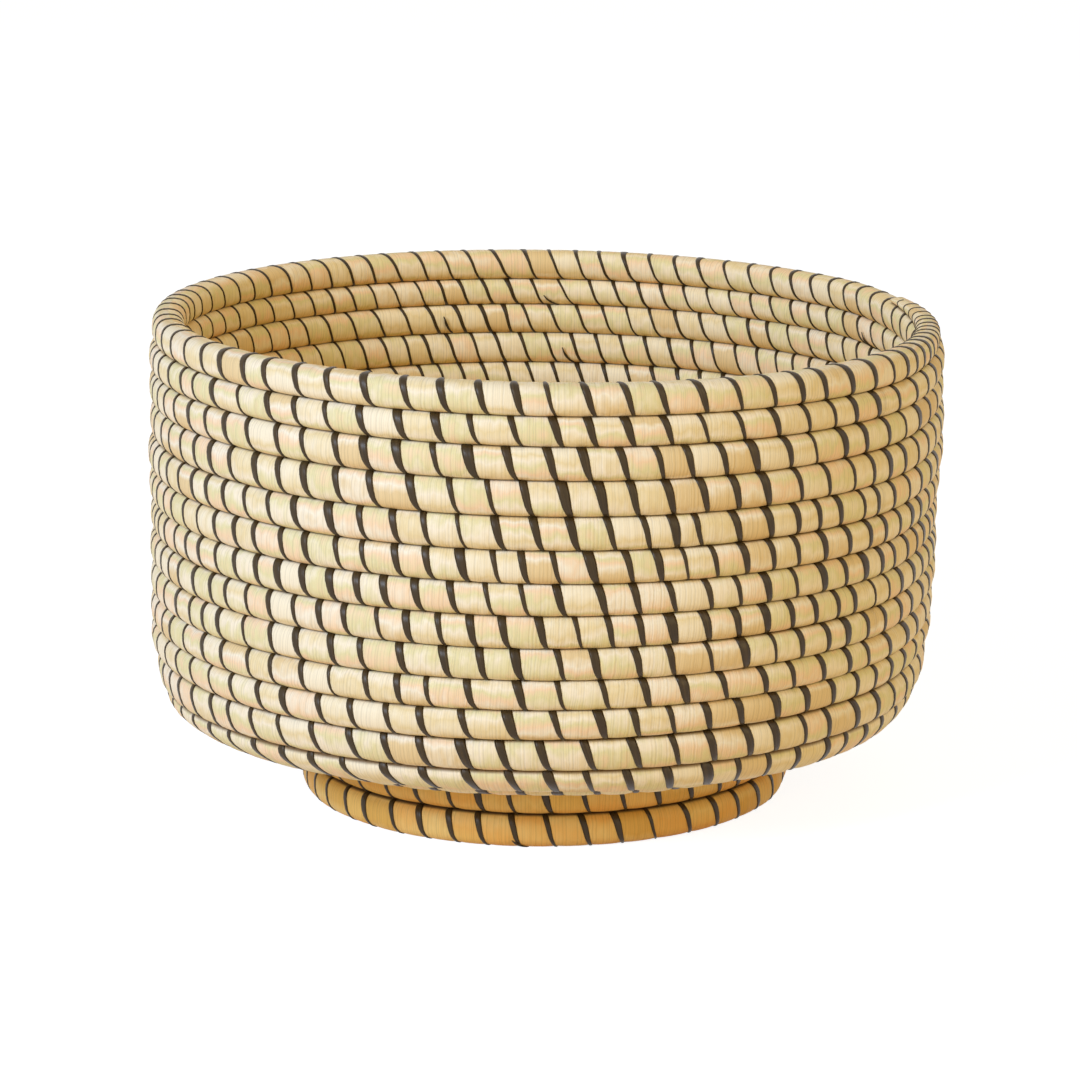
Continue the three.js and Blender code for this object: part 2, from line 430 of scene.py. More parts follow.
def wander(loops, size, seed):
    """A slow, smooth wandering along a cord, about so large."""
    phases = np.random.default_rng(seed).uniform(0, 2 * math.pi, len(WANDER_RATES))
    waves = zip(WANDER_SHARES, WANDER_RATES, phases)
    return size * sum(
        share * np.sin(2 * math.pi * rate * loops + phase) for share, rate, phase in waves
    )


# %% The surface of a cord
SECTION_POWER = 2.5
STITCH_PULL = 0.55 * MM
STITCH_PULL_POWER = 6
STITCH_PULL_IN_SEAMS = 0.3
ROW_WANDER = 0.22 * MM
# The flat rows of the floor are pressed together more than the rows of the wall
FLOOR_OVERLAP = 0.5 * MM
TIP_WIDTH = 0.4


def thinned(thin, least):
    """A share that is 1 on the full cord and falls to its least at the tip of a tail."""
    return least + (1 - least) * thin


def set_round(cord, loops, place, x, y):
    """Points so far off a cord's line: x out through the wall, and y on along the wall."""
    radius, height, slope = place
    r = radius + y * np.cos(slope) + x * np.sin(slope)
    z = height + y * np.sin(slope) - x * np.cos(slope)
    azimuth = CLIMB_START + 2 * math.pi * loops
    return cord["shape"](np.array([r * np.cos(azimuth), r * np.sin(azimuth), z]))


def cord_surface(cord, loops, around, lift=0.0):
    """Points on a cord: around runs from the seam above, over the outside, to the seam below."""
    radius, height, slope, half, low, high = cord["route"](loops)
    angle = math.pi / 2 - 2 * math.pi * around
    cosine, sine = np.cos(angle), np.sin(angle)
    power = 2 / SECTION_POWER
    across = np.sign(cosine) * np.abs(cosine) ** power
    along = np.sign(sine) * np.abs(sine) ** power
    thin = (high - low) / (2 * half)
    under_stitch = np.abs(np.cos(math.pi * cord["bay"](loops, around))) ** STITCH_PULL_POWER
    pull = STITCH_PULL * thin**2 * under_stitch
    x = across * ((cord["width"] / 2) * thinned(thin, TIP_WIDTH) - pull + lift)
    squeeze = cord["squeeze"] + FLOOR_OVERLAP * np.maximum(0, np.cos(slope))
    y = (low + high) / 2 + along * ((half + squeeze) * thin - STITCH_PULL_IN_SEAMS * pull + lift)
    x = x + wander(loops, ROW_WANDER, cord["seed"]) * thin
    return set_round(cord, loops, (radius, height, slope), x, y)


# %% Roll a grid into a tube
WELD_DISTANCE = 1e-6


def wind_tube(name, steps, sides, place, attributes=None):
    """A closed tube. place(along, around), both from 0 to 1, gives its points."""
    bm = bmesh.new()
    bm.loops.layers.uv.new("UVMap")
    bmesh.ops.create_grid(bm, x_segments=sides, y_segments=steps, size=0.5, calc_uvs=True)
    mesh = bpy.data.meshes.new(name)
    bm.to_mesh(mesh)
    bm.free()

    flat = np.empty(len(mesh.vertices) * 3)
    mesh.vertices.foreach_get("co", flat)
    flat = flat.reshape(-1, 3)
    around, along = flat[:, 0] + 0.5, flat[:, 1] + 0.5
    placed = place(along, around)
    mesh.vertices.foreach_set("co", placed.T.ravel())
    for label, value in (attributes or {}).items():
        layer = mesh.attributes.new(label, "FLOAT", "POINT")
        layer.data.foreach_set("value", value(along, around))

    bm = bmesh.new()
    bm.from_mesh(mesh)
    edge_points = [v for v in bm.verts if v.is_boundary]
    bmesh.ops.remove_doubles(bm, verts=edge_points, dist=WELD_DISTANCE)
    open_edges = [e for e in bm.edges if e.is_boundary]
    bmesh.ops.holes_fill(bm, edges=open_edges, sides=0)
    bmesh.ops.recalc_face_normals(bm, faces=bm.faces)
    for face in bm.faces:
        face.smooth = True
    bm.to_mesh(mesh)
    bm.free()
    print(f"{name}: {len(mesh.polygons)} faces")
    return new_object(name, mesh)


# %% [markdown]
# ## Where the stitches fall
#
# The black strand is a helix round the cord. A turn moves it on by 11 to 14 mm, which was
# counted in the photograph row by row, and by less at the back. It runs steeply where it comes
# over the top of a row, slants more lower down on the outside, and slants most on the inside of
# the bowl. The maker's spacing varies, so each turn has its own place. The bay of a point tells
# which two turns it lies between; the pale raffia changes its tint from bay to bay.

# %% Stitch places
STITCH_SPACING = 12.6 * MM
SPACING_SPREAD = 0.10
LEAST_SPACING_SHARE = 0.55
SLANT_ON_FACES = 0.31
SLANT_INSIDE = 0.36
SWEEP_BELOW = 0.28
# The place round the cord that faces out of the bowl; each turn is counted from there
OUTSIDE = 0.25


def strand_advance(turn):
    """How far along the cord the strand has come, in turns, after so many turns round it."""
    sweep = SWEEP_BELOW * (1 - np.cos(2 * math.pi * turn))
    inside = SLANT_INSIDE * np.sin(2 * math.pi * turn)
    faces = SLANT_ON_FACES * np.sin(4 * math.pi * turn)
    return turn + (sweep - inside) / (2 * math.pi) + faces / (4 * math.pi)


def stitch_places(route, first, last, seed, spacing_at):
    """The loops at which each turn of the strand crosses the outside of the cord."""
    local = np.random.default_rng(seed)
    least = LEAST_SPACING_SHARE * STITCH_SPACING
    places = [first]
    while places[-1] < last:
        here = np.array([places[-1]])
        spacing = spacing_at(places[-1]) * (1 + SPACING_SPREAD * local.normal())
        loop_length = 2 * math.pi * route(here)[0][0]
        places.append(places[-1] + max(spacing, least) / loop_length)
    return np.array(places)


def bay_finder(places):
    """A function that gives the bay of a point, as the number of turns before it."""
    numbers = np.arange(len(places), dtype=float)

    def bay(loops, around):
        return np.interp(loops, places, numbers) - strand_advance(around - OUTSIDE)

    return bay


# %% The two cords
ROW_OVERLAP = 0.35 * MM
# Rows below the rim, and the millimetres from stitch to stitch there
ROWS_DOWN = (-0.02, 0, 1.5, 3.5, 5, 6.5, 7.5, 8.5, 12)
SPACINGS = (9.5, 13.5, 13.4, 12.6, 12.3, 11.4, 12.2, 14.4, 14.0)
BACK_SPACING_SHARE = 0.85
FRONT_SHIFT = math.radians(8)
SPARE_LOOPS = 0.05


def bowl_spacing(loops):
    """Closest at the rim's end and at mid-height, and closer at the back than at the front."""
    front = max(0.0, -math.sin(CLIMB_START + FRONT_SHIFT + 2 * math.pi * loops))
    across = BACK_SPACING_SHARE + (1 - BACK_SPACING_SHARE) * front
    return float(np.interp(BOWL_LOOPS - loops, ROWS_DOWN, SPACINGS)) * MM * across


bowl_end = BOWL_LOOPS + TAIL_SHARE
foot_start = CLIMB_SHARE - TAIL_SHARE
foot_end = FOOT_ROWS + TAIL_SHARE
bowl_stitches = stitch_places(
    bowl_route, START_LOOPS, bowl_end + SPARE_LOOPS, seed=11, spacing_at=bowl_spacing
)
foot_stitches = stitch_places(
    foot_route, foot_start, foot_end + SPARE_LOOPS, seed=12, spacing_at=lambda _: STITCH_SPACING
)


def bowl_joined(loops, around):
    """0 along the top of the rim row, where no row follows, and 1 elsewhere."""
    above = np.abs(around - 0.5) > 0.25
    return np.where(above & (loops > bowl_end - 1), 0.0, 1.0)


def foot_joined(loops, around):
    """0 under the lower row, which stands on the table, and 1 elsewhere."""
    below = np.abs(around - 0.5) < 0.25
    return np.where(below & (loops < foot_start + 1), 0.0, 1.0)


bowl_cord = {
    "joined": bowl_joined,
    "route": bowl_route,
    "width": CORD_WIDTH,
    "squeeze": ROW_OVERLAP,
    "bay": bay_finder(bowl_stitches),
    "stitches": bowl_stitches,
    "shape": hand_made,
    "seed": 21,
}
foot_cord = {
    "joined": foot_joined,
    "route": foot_route,
    "width": FOOT_CORD_WIDTH,
    "squeeze": 0.0,
    "bay": bay_finder(foot_stitches),
    "stitches": foot_stitches,
    "shape": lambda points: points,
    "seed": 22,
}
print(f"{len(bowl_stitches)} turns of black strand on the bowl, {len(foot_stitches)} on the foot")

# %% [markdown]
# ## Finishes
#
# Raffia is a dry leaf fibre with a slight gloss. Each strand is a millimetre or so wide, and
# wound across the cord it makes fine lines. Its tint changes from ivory through straw to a
# greenish or a rosy cream, strand by strand and from bay to bay. The finish reads the piece's
# own UV map, where U is metres along the cord and V goes once round it, and the bay number.

# %% Colours
RAFFIA_TINTS = [
    (0.00, (0.88, 0.82, 0.66)),
    (0.20, (0.79, 0.68, 0.42)),
    (0.38, (0.89, 0.83, 0.69)),
    (0.52, (0.75, 0.71, 0.43)),
    (0.66, (0.87, 0.68, 0.48)),
    (0.82, (0.89, 0.84, 0.72)),
    (1.00, (0.76, 0.61, 0.36)),
]
FOOT_TINTS = [
    (0.00, (0.88, 0.59, 0.18)),
    (0.35, (0.87, 0.51, 0.14)),
    (0.70, (0.91, 0.67, 0.26)),
    (1.00, (0.77, 0.48, 0.12)),
]
# The dark brown of the gaps between rows: partly the dark strand in the gap, partly painted shade
SEAM_SHADE_COLOUR = (0.16, 0.09, 0.03, 1)
BLACK_TINTS = [
    (0.00, (0.026, 0.016, 0.006)),
    (0.55, (0.050, 0.031, 0.011)),
    (1.00, (0.095, 0.062, 0.026)),
]
GRASS_TINTS = [
    (0.00, (0.50, 0.36, 0.14)),
    (0.50, (0.62, 0.48, 0.22)),
    (1.00, (0.40, 0.27, 0.10)),
]


# %% Small shader helpers
# The Mix node's sockets for colours come after those for numbers and vectors
MIX_FACTOR, MIX_FIRST, MIX_SECOND, MIX_RESULT = 0, 6, 7, 2


def feed(link, socket, value):
    """Sets a socket to a plain value, or joins another socket to it."""
    if isinstance(value, (int, float, tuple)):
        socket.default_value = value
    else:
        link(value, socket)


def maths(add, link, operation, *values):
    """A maths node on sockets or plain numbers."""
    node = add("ShaderNodeMath", operation=operation)
    for socket, value in zip(node.inputs, values):
        feed(link, socket, value)
    return node.outputs[0]


def mixed(add, link, factor, first, second, blend="MIX"):
    """Two colours mixed, or one multiplied into the other."""
    node = add("ShaderNodeMix", data_type="RGBA", blend_type=blend)
    feed(link, node.inputs[MIX_FACTOR], factor)
    feed(link, node.inputs[MIX_FIRST], first)
    feed(link, node.inputs[MIX_SECOND], second)
    return node.outputs[MIX_RESULT]


def ramp(add, link, place, tints):
    """The tint at a place from 0 to 1."""
    node = add("ShaderNodeValToRGB")
    stops = node.color_ramp.elements
    while len(stops) < len(tints):
        stops.new(0.5)
    for stop, (position, colour) in zip(stops, tints):
        stop.position = position
        stop.color = (*colour, 1)
    link(place, node.inputs["Fac"])
    return node.outputs["Color"]


def ranged(add, link, value, before, after=(0.0, 1.0), kind="SMOOTHSTEP"):
    """A value taken from one range to another, with soft ends unless kind is LINEAR."""
    node = add("ShaderNodeMapRange", interpolation_type=kind)
    for name, limit in zip(("From Min", "From Max", "To Min", "To Max"), (*before, *after)):
        node.inputs[name].default_value = limit
    link(value, node.inputs["Value"])
    return node.outputs[0]


# %% Noise along a cord and over it
NOISE_DETAIL = 2.0


def line_noise(add, link, where, scale, detail=NOISE_DETAIL):
    """Noise along one line, as a number about 0.5."""
    node = add("ShaderNodeTexNoise", noise_dimensions="1D")
    node.inputs["Scale"].default_value = scale
    node.inputs["Detail"].default_value = detail
    link(where, node.inputs["W"])
    return node.outputs["Fac"]


def cord_places(add, link):
    """U in metres along the cord, and V round it, from the piece's UV map."""
    uv = add("ShaderNodeUVMap", uv_map="UVMap")
    parts = add("ShaderNodeSeparateXYZ")
    link(uv.outputs["UV"], parts.inputs[0])
    return parts.outputs["X"], parts.outputs["Y"]


def surface_noise(add, link, places, stretch, detail=NOISE_DETAIL):
    """Noise over a cord, with so many waves a metre along it and so many round it."""
    place = add("ShaderNodeCombineXYZ")
    for axis, where, waves in zip("XY", places, stretch):
        link(maths(add, link, "MULTIPLY", where, waves), place.inputs[axis])
    node = add("ShaderNodeTexNoise", noise_dimensions="2D")
    node.inputs["Scale"].default_value = 1.0
    node.inputs["Detail"].default_value = detail
    link(place.outputs[0], node.inputs["Vector"])
    return node.outputs["Fac"]


# %% Close a material
def add_surface(add, link, colour, roughness, gloss, height, strength, depth):
    """The shader with its bump, joined to the material's output."""
    bump = add("ShaderNodeBump")
    bump.inputs["Strength"].default_value = strength
    bump.inputs["Distance"].default_value = depth
    link(height, bump.inputs["Height"])
    shader = add("ShaderNodeBsdfPrincipled")
    link(colour, shader.inputs["Base Color"])
    feed(link, shader.inputs["Roughness"], roughness)
    shader.inputs["Specular IOR Level"].default_value = gloss
    link(bump.outputs[0], shader.inputs["Normal"])
    output = add("ShaderNodeOutputMaterial")
    link(shader.outputs[0], output.inputs["Surface"])


# %% Wrapped raffia
STRANDS_PER_METRE = 1500
WIDE_STRANDS_SHARE = 0.28
STRAND_DEPTH = 0.25 * MM
STRAND_BUMP = 0.7
WIDE_STRAND_BUMP = 0.6
RAFFIA_BUMP = 0.8
RAFFIA_ROUGHNESS = (0.50, 0.72)
RAFFIA_GLOSS = 0.35

BAY_TINT_WAVES = 1.9
BAY_TINT_GAIN = 1.9
BAY_TINT_SHIFT = -0.45
PATCH_STRETCH = (260.0, 7.0)
PATCH_GAIN = 0.3
PATCH_SHIFT = -0.15
WAVER_STRETCH = (120.0, 9.0)
WAVER_SIZE = 0.5 * MM
LINE_NOISE_RANGE = (0.34, 0.56)
LINE_SHADES = (0.89, 1.03)

# Shares of the way round the cord, over which a colour comes in
SEAM_SHADE_SHARE = 0.092
SEAM_SHADE_STRENGTH = 0.95
# Painted shade on the underside of each row, which faces away from the light above
UNDERSIDE_SHADE_RANGE = (0.24, 0.02)
UNDERSIDE_SHADE_SHARE = 0.75
UNDERSIDE_SHADE_COLOUR = (0.84, 0.68, 0.46, 1)
# Painted warm shade over the inside of the bowl, and painted light on the upper part of each row
# there
INSIDE_SHADE_RANGE = (0.50, 0.56)
INSIDE_TOP_LIGHT_RANGE = (0.53, 0.83)
INSIDE_WARM_SHADE_COLOUR = (1.02, 0.80, 0.37, 1)
INSIDE_TOP_LIGHT_COLOUR = (1.12, 1.07, 0.96, 1)


def raffia_tint(add, link, along, around, tints):
    """The tint of a bay, a little changed from patch to patch."""
    # A line of noise that follows the helical band between two stitches
    attribute = add("ShaderNodeAttribute", attribute_name="bay")
    bay = maths(add, link, "FLOOR", attribute.outputs["Fac"])
    band = maths(add, link, "ADD", bay, around)
    noise = line_noise(add, link, band, BAY_TINT_WAVES, 0.0)
    bay_tint = maths(add, link, "MULTIPLY_ADD", noise, BAY_TINT_GAIN, BAY_TINT_SHIFT)

    patches = surface_noise(add, link, (along, around), PATCH_STRETCH)
    centred = maths(add, link, "ADD", bay_tint, PATCH_SHIFT)
    return ramp(add, link, maths(add, link, "MULTIPLY_ADD", patches, PATCH_GAIN, centred), tints)


def shaded_round(add, link, colour, around):
    """Paints shade on the underside and in the seams, and warm shade and light on the inside. V is
    0 at the seam above.
    """
    # Painted shade: the underside of each row is coloured a darker tan than its top
    to_underside = maths(add, link, "PINGPONG", maths(add, link, "ADD", around, 0.5), 0.5)
    under = ranged(add, link, to_underside, UNDERSIDE_SHADE_RANGE, (0.0, UNDERSIDE_SHADE_SHARE))
    colour = mixed(add, link, under, colour, UNDERSIDE_SHADE_COLOUR, "MULTIPLY")

    # On the inside of the bowl, where V is over 0.5, painted warm shade makes the raffia a deeper
    # straw than outside, and painted light makes the upper part of each row paler
    inside = ranged(add, link, around, INSIDE_SHADE_RANGE)
    higher = ranged(add, link, around, INSIDE_TOP_LIGHT_RANGE)
    inside_light_and_shade = mixed(add, link, higher, INSIDE_WARM_SHADE_COLOUR, INSIDE_TOP_LIGHT_COLOUR)
    colour = mixed(add, link, inside, colour, inside_light_and_shade, "MULTIPLY")

    # V is 0.5 at the seam below. A seam is darkened only where another row lies against it: partly
    # the dark strand deep in the gap, partly painted shade
    folded = maths(add, link, "PINGPONG", around, 0.25)
    edge = ranged(add, link, folded, (SEAM_SHADE_SHARE / 2, SEAM_SHADE_SHARE), (SEAM_SHADE_STRENGTH, 0.0))
    neighbour = add("ShaderNodeAttribute", attribute_name="joined")
    seam = maths(add, link, "MULTIPLY", edge, neighbour.outputs["Fac"])
    return mixed(add, link, seam, colour, SEAM_SHADE_COLOUR)


def wrapped_raffia(name, tints):
    """Pale strands wound round a cord."""
    material = bpy.data.materials.new(name)
    add, link = shader_tree(material)
    along, around = cord_places(add, link)

    # Single strands differ from their neighbours, and each strand is a little wavy
    waver = surface_noise(add, link, (along, around), WAVER_STRETCH)
    wavy = maths(add, link, "ADD", along, maths(add, link, "MULTIPLY", waver, WAVER_SIZE))
    strand = line_noise(add, link, wavy, STRANDS_PER_METRE, 1.0)
    wide_strand = line_noise(add, link, wavy, STRANDS_PER_METRE * WIDE_STRANDS_SHARE, 1.0)

    # Fine dark lines between strands
    tint = raffia_tint(add, link, along, around, tints)
    line = ranged(add, link, strand, LINE_NOISE_RANGE, LINE_SHADES, "LINEAR")
    lined = mixed(add, link, 1.0, tint, line, "MULTIPLY")
    colour = shaded_round(add, link, lined, around)

    wide_height = maths(add, link, "MULTIPLY", wide_strand, WIDE_STRAND_BUMP)
    height = maths(add, link, "MULTIPLY_ADD", strand, STRAND_BUMP, wide_height)
    rough = ranged(add, link, wide_strand, (0.0, 1.0), RAFFIA_ROUGHNESS, "LINEAR")
    add_surface(add, link, colour, rough, RAFFIA_GLOSS, height, RAFFIA_BUMP, STRAND_DEPTH)
    return material


# %% Black raffia and grass
FIBRE_WAVES = 40.0
FIBRE_DETAIL = 3.0
FIBRE_BUMP = 0.6
FIBRE_DEPTH = 0.15 * MM


def fibre(name, tints, fibres_across, roughness, gloss):
    """A strand or bundle whose fibres run along it: U is metres along, V goes round."""
    material = bpy.data.materials.new(name)
    add, link = shader_tree(material)
    stretch = (FIBRE_WAVES, fibres_across)
    streaks = surface_noise(add, link, cord_places(add, link), stretch, FIBRE_DETAIL)
    tint = ramp(add, link, streaks, tints)
    add_surface(add, link, tint, roughness, gloss, streaks, FIBRE_BUMP, FIBRE_DEPTH)
    return material


pale_raffia = wrapped_raffia("pale wrapped raffia", RAFFIA_TINTS)
honey_raffia = wrapped_raffia("honey wrapped raffia", FOOT_TINTS)
black_raffia = fibre(
    "black raffia", BLACK_TINTS, fibres_across=14, roughness=0.37, gloss=0.28
)
dry_grass = fibre("dry grass", GRASS_TINTS, fibres_across=40, roughness=0.85, gloss=0.2)

# %% [markdown]
# ## The wrapped cord
#
# The bowl's cord is wound in five lengths, so that no piece grows too heavy: the floor, three
# lengths of wall, and the rim row with its thinned tail. The ends meet without a step, because
# all the lengths follow the same route.

# %% Wind the wrapping
STEPS_PER_LOOP = 520
FLOOR_STEPS_PER_LOOP = 260
SIDES = 20
# Where one length ends and the next begins, in loops from the knot
FLOOR_END = 10.0
LOW_WALL_END = 15.0
MIDDLE_WALL_END = 19.0
RIM_START = float(BOWL_LOOPS - 1)


def finish(piece, material, slot, *nodes):
    """Gives a piece its material and its body, and hides the solids it stands for; the slot is not
    used.
    """
    piece.data.materials.append(material)
    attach(piece, BODY)
    if nodes:
        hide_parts(*nodes)
    return piece


def measure_along(cord, loops):
    """The distance along a cord, in metres from the first of these loops, at each of them."""
    fine = np.linspace(loops.min(), loops.max(), MEASURING_POINTS)
    radius = cord["route"](fine)[0]
    lengths = np.concatenate([[0], np.cumsum(np.diff(fine) * 2 * math.pi * radius[1:])])
    return np.interp(loops, fine, lengths)


def stretch_uv(piece, length):
    """Sets the UV map so that U is metres along the tube and V goes once round it."""
    layer = piece.data.uv_layers["UVMap"]
    uv = np.empty(len(layer.data) * 2)
    layer.data.foreach_get("uv", uv)
    uv = uv.reshape(-1, 2)
    swapped = np.stack([length(uv[:, 1]), uv[:, 0]], axis=1)
    layer.data.foreach_set("uv", swapped.ravel())


def wind_wrapping(name, cord, first, last, steps_per_loop=STEPS_PER_LOOP):
    """One length of a cord's wrapping, from one place to another in loops."""

    def loops_at(along):
        return first + along * (last - first)

    def place(along, around):
        return cord_surface(cord, loops_at(along), around)

    def bay(along, around):
        return cord["bay"](loops_at(along), around)

    def joined(along, around):
        return cord["joined"](loops_at(along), around)

    steps = int((last - first) * steps_per_loop)
    piece = wind_tube(name, steps, SIDES, place, {"bay": bay, "joined": joined})
    start = float(measure_along(cord, np.array([START_LOOPS, first]))[1])
    stretch_uv(piece, lambda along: start + measure_along(cord, loops_at(along)))
    return piece


LENGTHS = {
    "bowl_floor_wrapping": (START_LOOPS, FLOOR_END, FLOOR_STEPS_PER_LOOP),
    "bowl_wall_wrapping_low": (FLOOR_END, LOW_WALL_END, STEPS_PER_LOOP),
    "bowl_wall_wrapping_middle": (LOW_WALL_END, MIDDLE_WALL_END, STEPS_PER_LOOP),
    "bowl_wall_wrapping_high": (MIDDLE_WALL_END, RIM_START, STEPS_PER_LOOP),
    "bowl_rim_wrapping": (RIM_START, bowl_end, STEPS_PER_LOOP),
}
for name, (first, last, steps) in LENGTHS.items():
    nodes = ("body_wrapping", "rim_tail") if name == "bowl_rim_wrapping" else ("body_wrapping",)
    piece = wind_wrapping(name, bowl_cord, first, last, steps)
    finish(piece, pale_raffia, "natural_raffia", *nodes)
finish(
    wind_wrapping("foot_wrapping_cord", foot_cord, foot_start, foot_end),
    honey_raffia,
    "natural_raffia",
    "foot_wrapping",
    "foot_lower_tail",
    "foot_upper_tail",
)

# %% [markdown]
# ## The black strand
#
# The strand is a flat ribbon that lies on the wrapping: wide where it starts over the outside
# of a row, narrower as it goes down into the seam, and narrow on the inside of the bowl.

# %% Wind the strand
STRAND_STEPS = 24
STRAND_SIDES = 6
STRAND_THICKNESS = 0.42 * MM
STRAND_EDGE = 0.14 * MM
STRAND_SUNK = -0.25 * MM
STRAND_ROUNDING = 0.7
STRAND_TURN_LENGTH = 37 * MM
OUTSIDE_WIDTH = 3.0 * MM
SEAM_WIDTH = 1.1 * MM
WIDTH_PLACES = (0.0, 0.08, 0.20, 0.45, 0.55, 0.75, 1.0)
WIDTH_SHARES = (0.5, 1.0, 0.85, 0.05, 0.05, 0.1, 0.5)
SIZE_SPREAD = 0.22
SIZE_LIMITS = (0.5, 1.5)
STITCHED_TAIL_SHARE = 0.93
LEFT_NARROWING = 0.28
TIP_STRAND_WIDTH = 0.45
TIP_STRAND_LIFT = 0.5
STRAND_SPLIT = 16.5
NEARLY_NOTHING = 1e-6


def strand_width(around, size):
    """The ribbon's width by its place round the cord."""
    share = np.interp(around % 1.0, WIDTH_PLACES, WIDTH_SHARES)
    return (SEAM_WIDTH + (OUTSIDE_WIDTH - SEAM_WIDTH) * share) * size


def ribbon_lift(angle):
    """How far the ribbon stands off the cord: rounded above, thin at its edges, sunk below."""
    rounded = np.abs(np.sin(angle)) ** STRAND_ROUNDING
    lift = np.where(np.sin(angle) > 0, STRAND_THICKNESS * rounded, STRAND_SUNK)
    return np.where(np.abs(np.sin(angle)) < NEARLY_NOTHING, STRAND_EDGE, lift)


def wind_strand(name, cord, first_stitch, last_stitch, seed):
    """The black strand from one of its turns to another. Each turn has its own width."""
    turns = last_stitch - first_stitch
    numbers = np.arange(len(cord["stitches"]), dtype=float)
    local = np.random.default_rng(seed)
    sizes = local.normal(1.0, SIZE_SPREAD, len(cord["stitches"]) + 2).clip(*SIZE_LIMITS)

    def place(along, around_strand):
        turn = first_stitch - OUTSIDE + along * turns
        size = np.interp(turn, np.arange(len(sizes)), sizes)
        cord_turn = turn + OUTSIDE
        angle = 2 * math.pi * around_strand
        sideways = -np.cos(angle) * strand_width(cord_turn, size) / 2
        loops = np.interp(strand_advance(turn), numbers, cord["stitches"])
        radius, _, _, half, low, high = cord["route"](loops)
        thin = (high - low) / (2 * half)
        left = np.clip(-np.cos(CLIMB_START + 2 * math.pi * loops), 0, 1) ** 2
        sideways = sideways * thinned(thin, TIP_STRAND_WIDTH) * (1 - LEFT_NARROWING * left)
        lift = ribbon_lift(angle) * thinned(thin, TIP_STRAND_LIFT)
        return cord_surface(cord, loops + sideways / (2 * math.pi * radius), cord_turn % 1.0, lift)

    piece = wind_tube(name, int(turns * STRAND_STEPS), STRAND_SIDES, place)
    stretch_uv(piece, lambda along: along * turns * STRAND_TURN_LENGTH)
    return finish(piece, black_raffia, "black_raffia")


wall_start = int(np.searchsorted(bowl_stitches, FLOOR_END))
wall_middle = int(np.searchsorted(bowl_stitches, STRAND_SPLIT))
rim_end = int(np.searchsorted(bowl_stitches, BOWL_LOOPS + STITCHED_TAIL_SHARE * TAIL_SHARE))
wind_strand("bowl_stitching_floor", bowl_cord, 1, wall_start, 31)
wind_strand("bowl_stitching_low", bowl_cord, wall_start, wall_middle, 32)
wind_strand("bowl_stitching_high", bowl_cord, wall_middle, rim_end, 33)
wind_strand("foot_stitching", foot_cord, 1, len(foot_stitches) - 2, 34)

# %% [markdown]
# Where the maker took a new strand, its end was tucked into the coil. A few of these ends show
# on the inside of the bowl, and one on the foot. Each stands a little proud in the middle of a
# row, and runs down into the seam at the slant of the stitches.

# %% Loose ends
END_SIZE = 1.5 * MM
END_CURL = 1.1 * MM
END_SUNK = 0.2 * MM
END_TIP_SHARE = 0.35
END_TIP_REACH = 0.3
END_TAPER = 0.35
END_ROUNDING = 0.6
END_STEPS = 8
END_LENGTH = 6 * MM
# Where an end starts, in loops and round the cord, and how far it runs on in both
LOOSE_ENDS = [
    ("bowl_loose_end_back", bowl_cord, 21.3515, 0.74, -0.0075, -0.18),
    ("bowl_loose_end_back_low", bowl_cord, 19.3425, 0.76, -0.0065, -0.20),
    ("bowl_loose_end_back_left", bowl_cord, 20.4000, 0.78, -0.0050, -0.18),
    ("bowl_loose_end_right", bowl_cord, 21.1700, 0.76, -0.0050, -0.20),
    ("foot_loose_end", foot_cord, 0.8300, 0.30, 0.0090, 0.16),
]


def add_loose_end(name, cord, loops, around, run, turn):
    """A strand from its end at this place on the cord, on by run along it and by turn round it."""

    def place(along, around_strand):
        angle = 2 * math.pi * around_strand
        tip = thinned(smooth(along / END_TIP_REACH), END_TIP_SHARE)
        size = END_SIZE / 2 * tip * (1 - END_TAPER * along)
        radius = cord["route"](np.array([loops]))[0][0]
        sideways = size * np.cos(angle) / (2 * math.pi * radius)
        rounded = END_ROUNDING * size * (1 + np.sin(angle))
        lift = END_CURL * (1 - along) ** 2 + rounded - END_SUNK
        return cord_surface(cord, loops + run * along - sideways, around + turn * along, lift)

    piece = wind_tube(name, END_STEPS, STRAND_SIDES, place)
    stretch_uv(piece, lambda along: along * END_LENGTH)
    finish(piece, black_raffia, "black_raffia")


for loose_end in LOOSE_ENDS:
    add_loose_end(*loose_end)

# %% [markdown]
# ## What the wrapping hides
#
# Inside each cord lies the bundle of grass that gives it its thickness. It shows nowhere, but
# it belongs to the bowl, so it is wound along the same routes as a plain round bundle.

# %% Wind the grass
CORE_WIDTH_SHARE = 0.72
CORE_STEPS_PER_LOOP = 60
CORE_SIDES = 10


def wind_grass(name, cord, first, last, node):
    """The bundle inside a cord, from one place to another in loops."""

    def loops_at(along):
        return first + along * (last - first)

    def place(along, around):
        loops = loops_at(along)
        radius, height, slope, half = cord["route"](loops)[:4]
        angle = 2 * math.pi * around
        x = CORE_WIDTH_SHARE * cord["width"] / 2 * np.cos(angle)
        y = CORE_WIDTH_SHARE * half * np.sin(angle)
        return set_round(cord, loops, (radius, height, slope), x, y)

    piece = wind_tube(name, int((last - first) * CORE_STEPS_PER_LOOP), CORE_SIDES, place)
    stretch_uv(piece, lambda along: measure_along(cord, loops_at(along)))
    finish(piece, dry_grass, "grass_bundle", node)


wind_grass("bowl_grass_bundle", bowl_cord, START_LOOPS, float(BOWL_LOOPS), "body_grass_core")
wind_grass("foot_grass_bundle", foot_cord, CLIMB_SHARE, float(FOOT_ROWS), "foot_grass_core")

# %% [markdown]
# ## The knot in the middle
#
# The coil starts from a small tight knot. It is a low dome, wrapped from its middle outwards,
# that fills the first loop of the cord. It is spun from half of its outline.

